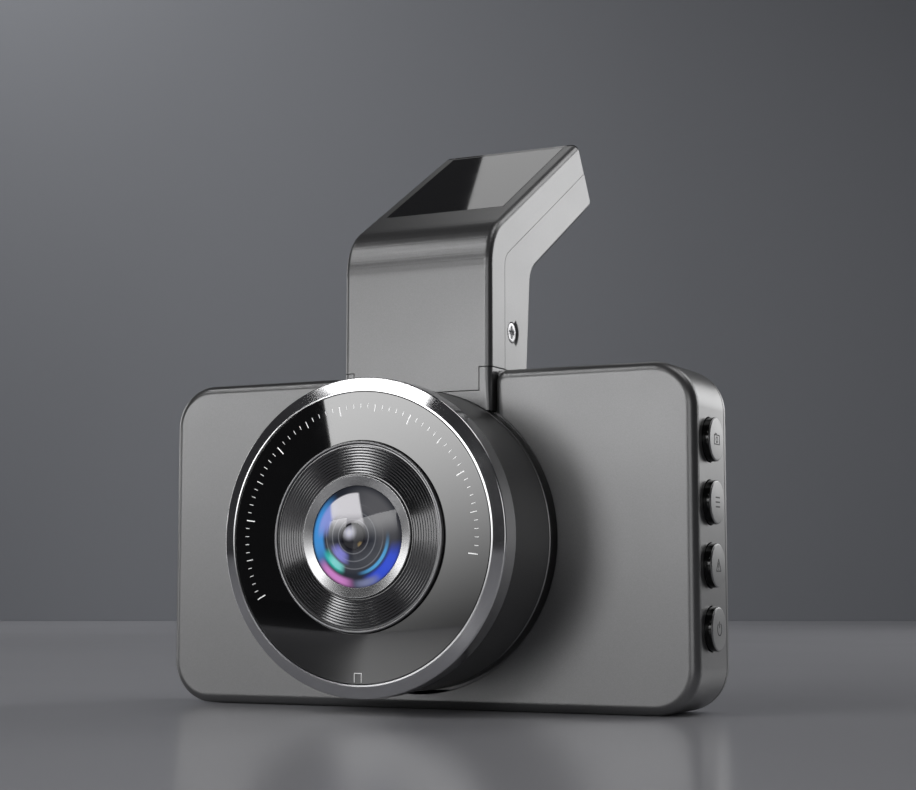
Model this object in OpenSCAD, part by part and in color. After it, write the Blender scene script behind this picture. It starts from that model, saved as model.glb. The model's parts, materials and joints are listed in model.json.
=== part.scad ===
// Dash camera with a tilting windscreen bracket.
// Frame: +X towards the buttons, -Y towards the lens side, +Z up.
// Origin: centre of the flat underside, halfway between the front and back faces.

/* [Body] */
// Width of the camera body
body_w = 93.1; // [88:0.1:113]
// Height of the camera body
body_h = 53; // [51:0.5:64]
// Depth of the camera body without the lens barrel
body_d = 15.5; // [14.9:0.1:18.6]
// Corner radius of the body seen from the front
corner_r = 7; // [5:0.5:8.5]
// Thickness of the front cover, and the rounding round its edge
front_r = 1.6; // [1.5:0.1:2.2]
// Rounding between the back face and the sides
back_r = 1.5; // [0.8:0.1:1.8]
// Wall thickness of the side frame
frame_wall = 1.8; // [1.6:0.1:2.1]
// Depth of the back cover
back_cover_d = 2; // [1.9:0.1:2.4]
// Visible joint between fixed pieces
seam = 0.1; // [0.05:0.05:0.2]

/* [Lens barrel] */
// Outer radius of the barrel
barrel_r = 23.6; // [19.6:0.1:23.8]
// Length of the barrel in front of the body
barrel_len = 14.8; // [12:0.1:18]
// Wall thickness of the barrel
barrel_wall = 1.6; // [1.4:0.1:1.9]
// How far the bezel stands out past the barrel all round
bezel_step = 0.5; // [0.3:0.05:0.6]
// Length of the bezel's cylindrical side
bezel_len = 3.5; // [3.2:0.05:4.5]
// Width of the bezel's sloping front band
bezel_band = 1.9; // [1.6:0.05:2.2]
// Height that the front band slopes forward
bezel_rise = 0.6; // [0.4:0.05:0.8]
// Gap between the barrel and the opening in the front cover
barrel_gap = 0.55; // [0.4:0.05:0.7]

/* [Lens] */
// Outer radius of the grooved ring and its accent ring
accent_r = 14.4; // [13.5:0.1:16]
// Width of the accent ring
accent_w = 0.5; // [0.4:0.05:0.7]
// Height that the inner rings stand in front of the face plate
ring_rise = 0.7; // [0.4:0.05:0.8]
// Number of grooves in the grooved ring
groove_count = 10; // [6:1:11]
// Outer radius of the polished ring around the front lens
lens_ring_r = 9.25; // [8.8:0.05:10]
// Radius of the front lens
lens_r = 7.6; // [7:0.1:8.4]
// Height of the front lens's dome
lens_dome = 1.5; // [1:0.1:2]
// Radius of the lens barrel's thread
thread_r = 6; // [5.5:0.1:6.5]
// Slip between the round pieces of the lens stack
lens_gap = 0.05; // [0.03:0.01:0.08]

/* [Buttons] */
// Radius of a button
button_r = 3.35; // [2.8:0.05:3.7]
// Distance between button centres
button_pitch = 9.5; // [9:0.05:10]
// Height of a button above the side
button_rise = 1.2; // [0.8:0.1:1.5]
// Travel of a button
button_travel = 0.35; // [0.2:0.05:0.4]
// Clearance around a button in its hole
button_gap = 0.15; // [0.1:0.01:0.25]
// Height of the button row's middle above the middle of the body
button_shift = 0.5; // [0:0.1:1.2]
// Place of the buttons in front of the body's mid-depth
button_front = 1.25; // [0.8:0.05:1.6]

/* [Bracket] */
// Width of the bracket
neck_w = 26.4; // [23:0.2:30]
// How far the bracket stands in front of the body's front face
neck_proud = 0.75; // [0.6:0.05:1.2]
// Height above the body where the front and top planes would meet
neck_rise = 22; // [19:0.05:26]
// Slope of the bracket's head above horizontal
head_slope = 31.1; // [26:0.1:36]
// Length of the head's top plane from that corner
head_len = 43; // [38:0.5:53]
// Thickness of the head
head_t = 11.8; // [11:0.1:13]
// Lean of the neck's back face
neck_lean = 5; // [3:0.5:6]
// Radius of the front bend
bend_r = 9; // [8:0.5:11]
// Radius of the back bend
back_bend_r = 4; // [3:0.5:5]
// Wall thickness of the bracket's shells
neck_wall = 1.6; // [1.4:0.1:1.8]
// Thickness of the bracket's side walls
cheek_wall = 1.8; // [1.6:0.1:2]
// Width of the adhesive pad
pad_w = 21.6; // [19:0.2:22]
// Length of the adhesive pad
pad_len = 30.4; // [26:0.1:30.6]
// Thickness of the adhesive pad
pad_t = 1; // [0.8:0.1:1.2]
// Thickness of the glossy film over the pad
film_t = 0.2; // [0.15:0.05:0.3]

/* [Hinge] */
// Height of the hinge axis above the body
pivot_rise = 6.8; // [6.4:0.1:8]
// Place of the hinge axis behind the body's mid-depth
pivot_back = -0.25; // [-0.5:0.05:0.2]
// Radius of the hinge pin
pivot_r = 2; // [1.8:0.1:2.2]
// Radial clearance of the pin in the body's lug
pivot_gap = 0.05; // [0.03:0.01:0.08]
// Depth of the seam below the body's top between the ears
tongue_drop = 3.2; // [2.6:0.1:3.4]
// Height of the ears above the body's top
ear_rise = 0.45; // [0.3:0.05:0.7]
// Width of an ear
ear_w = 2; // [1.6:0.1:2.2]
// Gap along the hinge's seams
hinge_gap = 0.15; // [0.1:0.01:0.2]
// Furthest that the bracket tilts back, in degrees
tilt_back = 12; // [8:0.5:12]

/* [Screen] */
// Width of the display panel
panel_w = 73; // [70:0.5:74]
// Height of the display panel
panel_h = 41.6; // [39:0.2:42]
// Thickness of the display panel
panel_t = 2.5; // [2:0.1:2.6]
// Width of the cover glass
glass_w = 84; // [80:0.2:86]
// Height of the cover glass
glass_h = 45; // [43.6:0.2:46]
// Thickness of the cover glass
glass_t = 0.9; // [0.7:0.1:1]

/* [Hidden] */
$fn = 96;
CORNER_FN = 32;
EPS = 0.02;

// Colours
metal_grey = [0.36, 0.37, 0.38];
dark_grey = [0.16, 0.16, 0.17];
gloss_black = [0.03, 0.03, 0.035];
bright_metal = [0.78, 0.79, 0.8];
board_green = [0.06, 0.24, 0.16];
chip_black = [0.08, 0.08, 0.09];
glass_blue = [0.45, 0.55, 0.75, 0.6];
film_amber = [0.75, 0.5, 0.15];

// Body planes
side_x = body_w / 2;
front_y = -body_d / 2;
back_y = body_d / 2;
frame_y0 = front_y + front_r;
frame_y1 = back_y - back_cover_d;
cover_in_y = frame_y0;
frame_in_x = side_x - frame_wall;
frame_in_top = body_h - frame_wall;
lip_w = 1;
lip_d = 1.5;
lip_clear = frame_wall + lip_w + 2 * seam;
lip_y = frame_y0 + lip_d + seam;

// Lens stack: distances are in front of the body's mid-depth
lens_z = body_h / 2;
d_face = body_d / 2;
d_bezel = d_face + barrel_len;
d_rim = d_bezel + bezel_len;
d_plate = d_rim + bezel_rise;
d_ring = d_plate + ring_rise;
bezel_r = barrel_r + bezel_step;
plate_r = bezel_r - 0.25 - bezel_band;
stack_t = 1.2;
d_stack = d_plate - stack_t;
spigot_r = plate_r - lens_gap;
shelf_t = 1.5;
d_shelf = d_stack - lens_gap - shelf_t;
barrel_in_r = barrel_r - barrel_wall;
flange_r = barrel_r + 1.9;
flange_t = 1.2;
d_flange = d_face - front_r - lens_gap;
tab_t = 2.1;
tab_r = 3.2;
fix_a = 50;
fix_r = barrel_r + 3.9;
fix_x = fix_r * cos(fix_a);
fix_dz = fix_r * sin(fix_a);
boss_r = 1.9;
screw_r = 0.8;
pilot_gap = 0.05;
head_r = 1.7;
screw_head_t = 0.8;

// Lens parts
lens_neck_r = lens_ring_r - lens_gap;
d_lens_back = d_stack + lens_gap;
d_neck_end = d_shelf - 4.4;
d_board = d_face + 1.7;
board_t = 1;
d_lens_end = d_board + 1.6;
sensor_board_r = barrel_in_r - 4.5;
post_r = sensor_board_r - 2.5;
post_angles = [90, 210, 330];
holder_w = 2 * min(8, post_r * cos(30) - boss_r - 0.2);

// Electronics
pcb_t = 1;
pcb_y = 0.9;
pcb_z0 = 3.5;
pcb_x0 = frame_in_x - 0.5;
pcb_x1 = side_x - 7.2;
corner_fix_x = side_x - 6.9;
corner_fix_z = [6, body_h - 6];
corner_boss_r = 2.2;
corner_pass = 2.7;
part_y = pcb_y - EPS;

// Buttons
button_z = [for (i = [1.5, 0.5, -0.5, -1.5])
    body_h / 2 + button_shift + i * button_pitch];
button_y = -button_front;
flange_x = frame_in_x - 0.05;
button_flange_t = 0.5;
button_flange_r = button_r + 0.55;
stem_x = flange_x - button_flange_t - 0.35;
stem_r = 1.2;
plunger_r = 1;
plunger_len = 1.25;
switch_x1 = stem_x - 0.6;
switch_t = 1.5;
switch_w = 4.2;
key_board_t = 1.1;

// Ports on the side away from the buttons
usb_z = body_h - 13;
usb_w = 9;
usb_t = 3.2;
usb_len = 7.3;
usb_y = part_y - usb_t / 2;
jack_z = usb_z - 8;
jack_w = 5.15;
jack_len = 10.8;
jack_r = 1.28;
jack_y = part_y - jack_w / 2;
port_x = -side_x + 0.4;
card_w = 11;
card_len = 15;
card_t = 1;
card_z = 18;
card_y = 0;
card_gap = 0.1;
card_x = -side_x + 0.1;

// Bracket planes, in the YZ plane
neck_y = front_y - neck_proud;
corner_p = [neck_y, body_h + neck_rise];
neck_back = [back_y - 1.68, body_h];
seam_z = body_h + ear_rise + hinge_gap;
tongue_z = body_h - tongue_drop + hinge_gap / 2;
floor_z = tongue_z - hinge_gap;
part_dn = 5.65;
part_dh = 5.6;
head_wall = 2.6;
head_end_r = 0.8;
pivot = [pivot_back, body_h + pivot_rise];
neck_in_x = neck_w / 2 - cheek_wall;
tongue_x = neck_w / 2 - ear_w;
tongue_wall = 1.6;
tongue_back = pivot.x + 0.5;
relief_a = tilt_back - 3;
lug_x = 7;
lug_r = 4.5;
lug_front = 4;
lug_back = 2.8;
washer_t = 0.27;
washer_gap = 0.03;
boss_face_x = lug_x + washer_t + 3 * washer_gap;
pivot_boss_r = 4;
pin_x = neck_in_x - 0.6;
pivot_head_r = 1.6;
pivot_head_t = 0.85;
pivot_screw_r = 0.85;
pad_s0 = head_len - 0.9 - pad_len;
recess_t = pad_t + film_t;
fix_s = [pad_s0 + 5.5, pad_s0 + pad_len - 5.5];
notch_x = neck_w / 2 + 0.3;
notch_y = 3.6;
base_back = notch_y - hinge_gap;
base_floor_t = 3.1;
base_tab_t = 1.35;

// Where the line from p at angle a meets the line from q at angle b
function meet(p, a, q, b) =
    let (u = [cos(a), sin(a)], v = [cos(b), sin(b)], w = q - p)
    p + u * (w.x * v.y - w.y * v.x) / (u.x * v.y - u.y * v.x);

// Arc of radius r that rounds the turn at p from heading a to heading b
function turn(p, a, b, r, n = 10) =
    let (s = b > a ? 1 : -1, c = p - r * tan(abs(b - a) / 2) * [cos(a), sin(a)]
        + s * r * [-sin(a), cos(a)])
    [for (i = [0:n]) let (f = a + (b - a) * i / n - s * 90) c + r * [cos(f), sin(f)]];

// Point on the head at distance s along its top plane and depth h below it
function on_head(s, h) = corner_p + s * [cos(head_slope), sin(head_slope)]
    + h * [sin(head_slope), -cos(head_slope)];

// Side line of the bracket: up from p at angle a, round, and along the head at depth h
function side_line(p, a, h, r, s) =
    concat([p], turn(meet(p, a, on_head(0, h), head_slope), a, head_slope, r),
        [on_head(s, h)]);

function flip(list) = [for (i = [len(list) - 1:-1:0]) list[i]];

module box(x0, x1, y0, y1, z0, z1) {
    translate([x0, y0, z0]) cube([x1 - x0, y1 - y0, z1 - z0]);
}

module rod_x(r, x0, x1, y, z) {
    translate([x0, y, z]) rotate([0, 90, 0]) cylinder(r = r, h = x1 - x0);
}

module rod_y(r, y0, y1, x, z) {
    translate([x, y1, z]) rotate([90, 0, 0]) cylinder(r = r, h = y1 - y0);
}

module rod_z(r, z0, z1, x, y) {
    translate([x, y, z0]) cylinder(r = r, h = z1 - z0);
}

// Extrude an XZ outline from y0 to y1
module slab_y(y0, y1) {
    translate([0, y1, 0]) rotate([90, 0, 0]) linear_extrude(y1 - y0) children();
}

// Extrude a YZ outline from x0 to x1
module slab_x(x0, x1) {
    translate([x0, 0, 0]) rotate([90, 0, 90]) linear_extrude(x1 - x0) children();
}

// Turn a profile of [radius, distance in front of mid-depth] about the lens axis
module turned() {
    translate([0, 0, lens_z]) rotate([90, 0, 0]) rotate_extrude() children();
}

module rounded_rect(w, h, r) {
    square([w - 2 * r, h], center = true);
    square([w, h - 2 * r], center = true);
    for (x = [-1, 1], y = [-1, 1])
        translate([x * (w / 2 - r), y * (h / 2 - r)]) circle(r);
}

module body_outline(inset) {
    translate([0, body_h / 2])
        rounded_rect(body_w - 2 * inset, body_h - 2 * inset, corner_r - inset);
}

// Plate with the body's outline whose outer edge is rounded by r, facing +Y
module edged_plate(t, r) {
    arc = [for (a = [0:15:90]) [corner_r - r + r * cos(a), t - r + r * sin(a)]];
    hull() for (x = [-1, 1], z = [corner_r, body_h - corner_r])
        translate([x * (side_x - corner_r), 0, z]) rotate([-90, 0, 0])
            rotate_extrude($fn = CORNER_FN)
                polygon(concat([[0, 0], [corner_r, 0]], arc, [[0, t]]));
}

// Four screw places in the body's corners
module at_corner_screws() {
    for (x = [-1, 1], z = corner_fix_z) translate([x * corner_fix_x, 0, z]) children();
}

// Four screw places round the barrel
module at_frame_screws() {
    for (x = [-1, 1], s = [-1, 1]) translate([x * fix_x, 0, lens_z + s * fix_dz]) children();
}

module front_cover() {
    color(metal_grey) difference() {
        union() {
            translate([0, frame_y0, 0]) mirror([0, 1, 0]) edged_plate(front_r, front_r - EPS);
            slab_y(frame_y0 - EPS, frame_y0 + lip_d) difference() {
                body_outline(frame_wall + seam);
                body_outline(frame_wall + seam + lip_w);
            }
            at_corner_screws() rod_y(corner_boss_r, cover_in_y - EPS,
                frame_y1 - corner_seat_d - seam, 0, 0);
            at_frame_screws() rod_y(boss_r, cover_in_y - EPS, -d_flange + tab_t, 0, 0);
        }
        rod_y(barrel_r + barrel_gap, front_y - 1, frame_y0 + lip_d + 1, 0, lens_z);
        box(-notch_x, notch_x, front_y - 1, frame_y0 + lip_d + 1, lens_z, body_h + 1);
        for (z = button_z) rod_x(button_flange_r + 0.3, frame_in_x - 3, frame_in_x, button_y, z);
        at_corner_screws() rod_y(screw_r + pilot_gap, cover_in_y + 1, back_y, 0, 0);
        at_frame_screws() rod_y(screw_r + pilot_gap, cover_in_y - 0.9, 0, 0, 0);
    }
}

speaker_x = [side_x - 24.7, side_x - 9.7];
speaker_slots = 5;
speaker_d = 5.2;
mic_x = -22;
mic_r = 2;
mic_y = lip_y + mic_r;

module side_frame() {
    color(metal_grey) difference() {
        slab_y(frame_y0 + seam, frame_y1 - seam) difference() {
            body_outline(0);
            body_outline(frame_wall);
        }
        for (z = button_z) rod_x(button_r + button_gap, frame_in_x - 1, side_x + 1, button_y, z);
        slab_x(-side_x - 1, -frame_in_x + 1) {
            translate([usb_y, usb_z]) rounded_rect(usb_t + 0.6, usb_w + 0.6, usb_t / 2 + 0.29);
            translate([card_y, card_z]) square([card_t + 0.5, card_w + 0.6], center = true);
        }
        rod_x(jack_r + 0.6, -side_x - 1, -frame_in_x + 1, jack_y, jack_z);
        for (i = [0:speaker_slots - 1])
            translate([speaker_x[0] + 3 + i * 2.2, lip_y + 0.9, -1]) cube([1, 3.4, frame_wall + 2]);
        rod_z(0.5, -1, frame_wall + 1, mic_x, mic_y);
        box(-notch_x, notch_x, frame_y0 - 1, notch_y, frame_in_top - 2, body_h + 1);
    }
}

corner_seat_d = 1.4;
glass_y = back_y - 0.05 - glass_t;
pocket_y = glass_y - 0.05;
panel_z = pcb_z0 + panel_h / 2;

module rear_cover() {
    color(metal_grey) difference() {
        union() {
            translate([0, frame_y1, 0]) edged_plate(back_cover_d, back_r);
            slab_y(frame_y1 - lip_d, frame_y1 + EPS) difference() {
                body_outline(frame_wall + seam);
                body_outline(frame_wall + seam + lip_w);
            }
            at_corner_screws() rod_y(corner_boss_r + 0.4, frame_y1 - corner_seat_d,
                frame_y1 + EPS, 0, 0);
        }
        slab_y(pocket_y, back_y + 1) translate([0, body_h / 2])
            rounded_rect(glass_w + 2 * seam, glass_h + 2 * seam, 3);
        slab_y(frame_y1 - 1, back_y + 1) translate([0, panel_z])
            square([panel_w - 5, panel_h - 4], center = true);
        at_corner_screws() {
            rod_y(head_r + 0.15, frame_y1 - corner_seat_d + 1.25, back_y, 0, 0);
            rod_y(screw_r + 0.2, frame_y1 - 5, back_y, 0, 0);
        }
        box(-notch_x, notch_x, frame_y1 - lip_d - 1, frame_y1 - 0.5, frame_in_top - 3, frame_in_top);
        for (z = button_z) rod_x(button_flange_r + 0.3, frame_in_x - 3, frame_in_x, button_y, z);
    }
}

module cover_glass() {
    color(gloss_black) slab_y(glass_y, glass_y + glass_t) translate([0, body_h / 2])
        rounded_rect(glass_w, glass_h, 3 - seam);
}

module display_panel() {
    y1 = frame_y1 - 0.05;
    color(bright_metal) slab_y(y1 - panel_t, y1) translate([0, panel_z])
        square([panel_w, panel_h], center = true);
}

module main_board() {
    color(board_green) difference() {
        intersection() {
            box(-pcb_x0, pcb_x1, pcb_y, pcb_y + pcb_t, pcb_z0, floor_z - base_floor_t - 1);
            slab_y(pcb_y, pcb_y + pcb_t) body_outline(frame_wall + 0.3);
        }
        at_corner_screws() rod_y(corner_pass, pcb_y - 1, pcb_y + pcb_t + 1, 0, 0);
    }
}

module processor() {
    color(chip_black) box(-7, 7, part_y - 1.3, part_y, lens_z - 7, lens_z + 7);
}

module memory_chips() {
    color(chip_black) for (z = [-1, 1])
        box(-20, -11, part_y - 1, part_y, lens_z + z * 7 - 5, lens_z + z * 7 + 5);
}

module wifi_module() {
    color(bright_metal) box(12, 25, part_y - 1.6, part_y, lens_z - 1, lens_z + 11);
}

module power_coils() {
    color(chip_black) for (z = [0, 6]) box(28, 32, part_y - 2, part_y, lens_z + z - 2, lens_z + z + 2);
}

module battery() {
    color("silver") box(-side_x + lip_clear, -flange_r - 1.7, cover_in_y + seam, -1.2, 8.6, 27.6);
}

module speaker() {
    z0 = frame_wall + seam;
    color(chip_black) difference() {
        box(speaker_x[0], speaker_x[1], lip_y, lip_y + speaker_d, z0, z0 + 3.5);
        box(speaker_x[0] + 1, speaker_x[1] - 1, lip_y + 0.8, lip_y + speaker_d - 0.8,
            z0 - 1, z0 + 0.6);
    }
}

module microphone() {
    color(bright_metal) rod_z(mic_r, frame_wall + seam, frame_wall + seam + 1.4, mic_x, mic_y);
}

module card_socket() {
    x1 = card_x + card_len + 0.1;
    color(bright_metal) difference() {
        box(-frame_in_x + seam, x1 + 0.5, card_y - card_t / 2 - 0.5, part_y,
            card_z - card_w / 2 - 1.1, card_z + card_w / 2 + 1.1);
        box(-side_x, x1, card_y - card_t / 2 - card_gap, card_y + card_t / 2 + card_gap,
            card_z - card_w / 2 - card_gap, card_z + card_w / 2 + card_gap);
    }
}

module memory_card() {
    z0 = card_z - card_w / 2;
    color(gloss_black) difference() {
        box(card_x, card_x + card_len, card_y - card_t / 2, card_y + card_t / 2, z0, z0 + card_w);
        box(card_x + card_len - 5, card_x + card_len + 1, -1, 1, z0 + card_w - 1.3, z0 + card_w + 1);
    }
}

module usb_socket() {
    color(bright_metal) {
        difference() {
            slab_x(port_x, port_x + usb_len) translate([usb_y, usb_z])
                rounded_rect(usb_t, usb_w, usb_t / 2 - 0.01);
            slab_x(port_x - 1, port_x + usb_len - 0.8) translate([usb_y, usb_z])
                rounded_rect(usb_t - 0.6, usb_w - 0.6, usb_t / 2 - 0.31);
        }
        box(port_x + 0.6, port_x + usb_len - 0.5, usb_y - 0.35, usb_y + 0.35,
            usb_z - 3.3, usb_z + 3.3);
    }
}

module av_jack() {
    color(chip_black) difference() {
        union() {
            box(-frame_in_x + seam, port_x + jack_len, jack_y - jack_w / 2, jack_y + jack_w / 2,
                jack_z - jack_w / 2, jack_z + jack_w / 2);
            rod_x(jack_r + 0.5, port_x, -frame_in_x + 1, jack_y, jack_z);
        }
        rod_x(jack_r, port_x - 1, port_x + jack_len - 0.8, jack_y, jack_z);
    }
}

module key_board() {
    x1 = switch_x1 - switch_t;
    color(board_green) box(x1 - key_board_t, x1, button_y - 2.9, button_y + 2.9,
        button_z[3] - 4, button_z[0] + 3.2);
}

module key_switches() {
    color(chip_black) for (z = button_z) difference() {
        box(switch_x1 - switch_t, switch_x1, button_y - switch_w / 2, button_y + switch_w / 2,
            z - switch_w / 2, z + switch_w / 2);
        rod_x(plunger_r + 0.1, stem_x - plunger_len - button_travel - 0.1, switch_x1 + 1,
            button_y, z);
    }
}

module button(z) {
    top_x = side_x + button_rise;
    color(metal_grey) translate([0, button_y, z]) rotate([0, 90, 0]) rotate_extrude()
        polygon([[0, stem_x], [stem_r, stem_x], [stem_r, flange_x - button_flange_t],
            [button_flange_r, flange_x - button_flange_t], [button_flange_r, flange_x],
            [button_r, flange_x], [button_r, top_x - 0.25], [button_r - 0.25, top_x], [0, top_x]]);
}

module plunger(z) {
    color(bright_metal) rod_x(plunger_r, stem_x - plunger_len, stem_x, button_y, z);
}

module barrel_housing() {
    color(metal_grey) difference() {
        union() {
            turned() polygon([[barrel_in_r, d_flange - flange_t], [flange_r, d_flange - flange_t],
                [flange_r, d_flange], [barrel_r, d_flange], [barrel_r, d_bezel - seam],
                [spigot_r, d_bezel - seam], [spigot_r, d_shelf + shelf_t],
                [lens_ring_r + 0.2, d_shelf + shelf_t], [lens_ring_r + 0.2, d_shelf],
                [spigot_r - 1.5, d_shelf], [spigot_r - 1.5, d_bezel - 1],
                [barrel_in_r, d_bezel - 1 - (barrel_in_r - spigot_r + 1.5)]]);
            at_frame_screws() rod_y(tab_r, -d_flange, -d_flange + tab_t, 0, 0);
            for (a = post_angles) rod_y(boss_r, -d_shelf - EPS, -d_board - lens_gap,
                post_r * cos(a), lens_z + post_r * sin(a));
        }
        at_frame_screws() rod_y(boss_r + seam, -d_flange - 1, 0, 0, 0);
        for (a = post_angles) rod_y(screw_r - 0.05, -d_board - 8, 0,
            post_r * cos(a), lens_z + post_r * sin(a));
        box(-notch_x, notch_x, neck_y - 0.25, 0, floor_z - 0.05, body_h);
        box(-notch_x, notch_x, -d_flange - 0.05, 0, floor_z - base_floor_t - 0.2, body_h);
        for (z = [-1, body_h - lip_clear])
            box(-flange_r - 1, flange_r + 1, -d_flange - EPS, 0, z, z + lip_clear + 1);
    }
}

module bezel_ring() {
    r0 = plate_r + lens_gap;
    nub_a = 206;
    color(bright_metal) {
        turned() polygon([[r0, d_bezel], [bezel_r, d_bezel], [bezel_r, d_rim - 0.25],
            [bezel_r - 0.25, d_rim], [r0 + 0.2, d_plate], [r0, d_plate]]);
        rod_y(0.55, -d_bezel - 2.6, -d_bezel - 1.2,
            (bezel_r - 0.1) * cos(nub_a), lens_z + (bezel_r - 0.1) * sin(nub_a));
    }
}

module face_plate() {
    color(gloss_black) turned() polygon([[accent_r + lens_gap, d_stack], [plate_r, d_stack],
        [plate_r, d_plate - 0.1], [plate_r - 0.1, d_plate], [accent_r + lens_gap, d_plate]]);
}

module accent_ring() {
    r0 = accent_r - accent_w;
    color(bright_metal) turned() polygon([[r0, d_stack], [accent_r, d_stack],
        [accent_r, d_ring - 0.2], [r0 + accent_w / 2, d_ring], [r0, d_ring - 0.2]]);
}

module groove_ring() {
    r0 = lens_ring_r + lens_gap;
    r1 = accent_r - accent_w - lens_gap;
    land = 0.3;
    step = (r1 - r0 - 2 * land) / groove_count;
    top = d_ring - 0.25;
    color(dark_grey) turned() polygon(concat([[r1, d_stack], [r1, top]],
        [for (i = [0:groove_count - 1], k = [0, 0.5])
            [r1 - land - (i + k) * step, top - (k > 0 ? 0.35 : 0)]],
        [[r0 + land, top], [r0, top], [r0, d_stack]]));
}

module lens_ring() {
    color(bright_metal) turned() polygon([[lens_r + lens_gap, d_lens_back],
        [lens_neck_r, d_lens_back], [lens_neck_r, d_ring - 0.2], [lens_neck_r - 0.5, d_ring + 0.2],
        [lens_r + 0.4, d_ring + 0.2], [lens_r + lens_gap, d_ring - 0.35]]);
}

// Disc of radius r and edge thickness t at distance d, domed by front and back
module lens(r, d, t, front, back) {
    n = 12;
    rf = (r * r + front * front) / (2 * front);
    rb = (r * r + back * back) / (2 * back);
    turned() polygon(concat(
        [for (i = [n:-1:0]) let (x = r * i / n) [x, d + t + front - rf + sqrt(rf * rf - x * x)]],
        [for (i = [0:n]) let (x = r * i / n) [x, d - back + rb - sqrt(rb * rb - x * x)]]));
}

module front_lens() {
    color(glass_blue) lens(lens_r, d_lens_back + 0.4, d_ring - 0.5 - d_lens_back - 0.4, lens_dome, 0.3);
}

module lens_barrel() {
    seat_r = lens_r - 1;
    step_r = thread_r - 1;
    color(chip_black) turned() polygon([[step_r - 0.8, d_lens_end], [thread_r, d_lens_end],
        [thread_r, d_neck_end], [lens_neck_r, d_neck_end], [lens_neck_r, d_stack],
        [seat_r, d_stack], [seat_r, d_neck_end + 2], [step_r, d_neck_end + 2],
        [step_r, d_lens_end + 1.2], [step_r - 0.8, d_lens_end + 1.2]]);
}

module second_lens() {
    color(glass_blue) lens(lens_r - 1 - lens_gap, d_neck_end + 2.7, 1.2, 0.6, 0.6);
}

module rear_lens() {
    color(glass_blue) lens(thread_r - 1 - lens_gap, d_lens_end + 2.2, 1.2, 0.7, 0.7);
}

module aperture_stop() {
    d0 = d_neck_end - 0.8;
    color(chip_black) turned() translate([1.6, d0])
        square([thread_r - 1 - lens_gap - 1.6, 0.4]);
}

module ir_filter() {
    color([0.5, 0.2, 0.25, 0.7]) slab_y(-d_board - 1.45, -d_board - 1.15) translate([0, lens_z])
        square([7.6, 7.6], center = true);
}

module lens_holder() {
    base_t = 3;
    color(chip_black) difference() {
        union() {
            slab_y(-d_board - base_t, -d_board) translate([0, lens_z])
                square([holder_w, holder_w], center = true);
            rod_y(thread_r + 2, -d_board - 7, -d_board - base_t + EPS, 0, lens_z);
        }
        rod_y(thread_r + lens_gap, -d_board - 8, -d_board - 1.5, 0, lens_z);
        slab_y(-d_board - 1.52, 1 - d_board) translate([0, lens_z])
            square([12, 12], center = true);
    }
}

module image_sensor() {
    color(gloss_black) slab_y(-d_board - 1, -d_board) translate([0, lens_z])
        square([9.6, 7.6], center = true);
}

module sensor_board() {
    color(board_green) difference() {
        rod_y(sensor_board_r, -d_board, -d_board + board_t, 0, lens_z);
        for (a = post_angles) rod_y(screw_r + 0.3, -d_board - 1, 0,
            post_r * cos(a), lens_z + post_r * sin(a));
    }
}

// Cross-headed screw along Y: head from y towards +Y, shank of length len towards -Y
module screw(y, len, r = screw_r, hr = head_r, ht = screw_head_t) {
    difference() {
        union() {
            rod_y(hr, y, y + ht, 0, 0);
            rod_y(r, y - len, y + EPS, 0, 0);
        }
        for (a = [0, 90]) translate([0, y + ht, 0]) rotate([0, a, 0])
            cube([hr * 1.2, ht, hr * 0.3], center = true);
    }
}

module sensor_screws() {
    color("silver") for (a = post_angles)
        translate([post_r * cos(a), 0, lens_z + post_r * sin(a)])
            screw(-d_board + board_t, 6, screw_r - 0.1);
}

module sensor_flex() {
    color(film_amber) box(-5, 5, -d_board + board_t, part_y, lens_z - 12.5, lens_z - 12.2);
}

module display_flex() {
    color(film_amber) box(-9, 9, pcb_y + pcb_t + EPS, frame_y1 - 0.05 - panel_t - EPS,
        pcb_z0 + 2, pcb_z0 + 2.2);
}

module frame_screws() {
    color("silver") for (x = [-1, 1]) {
        translate([x * fix_x, 0, lens_z + fix_dz]) screw(-d_flange + tab_t + base_tab_t + seam, 3.6);
        translate([x * fix_x, 0, lens_z - fix_dz]) screw(-d_flange + tab_t, 2.4);
    }
}

module body_screws() {
    color("silver") at_corner_screws() screw(frame_y1 - corner_seat_d + 1.25, 7.5);
}

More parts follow.
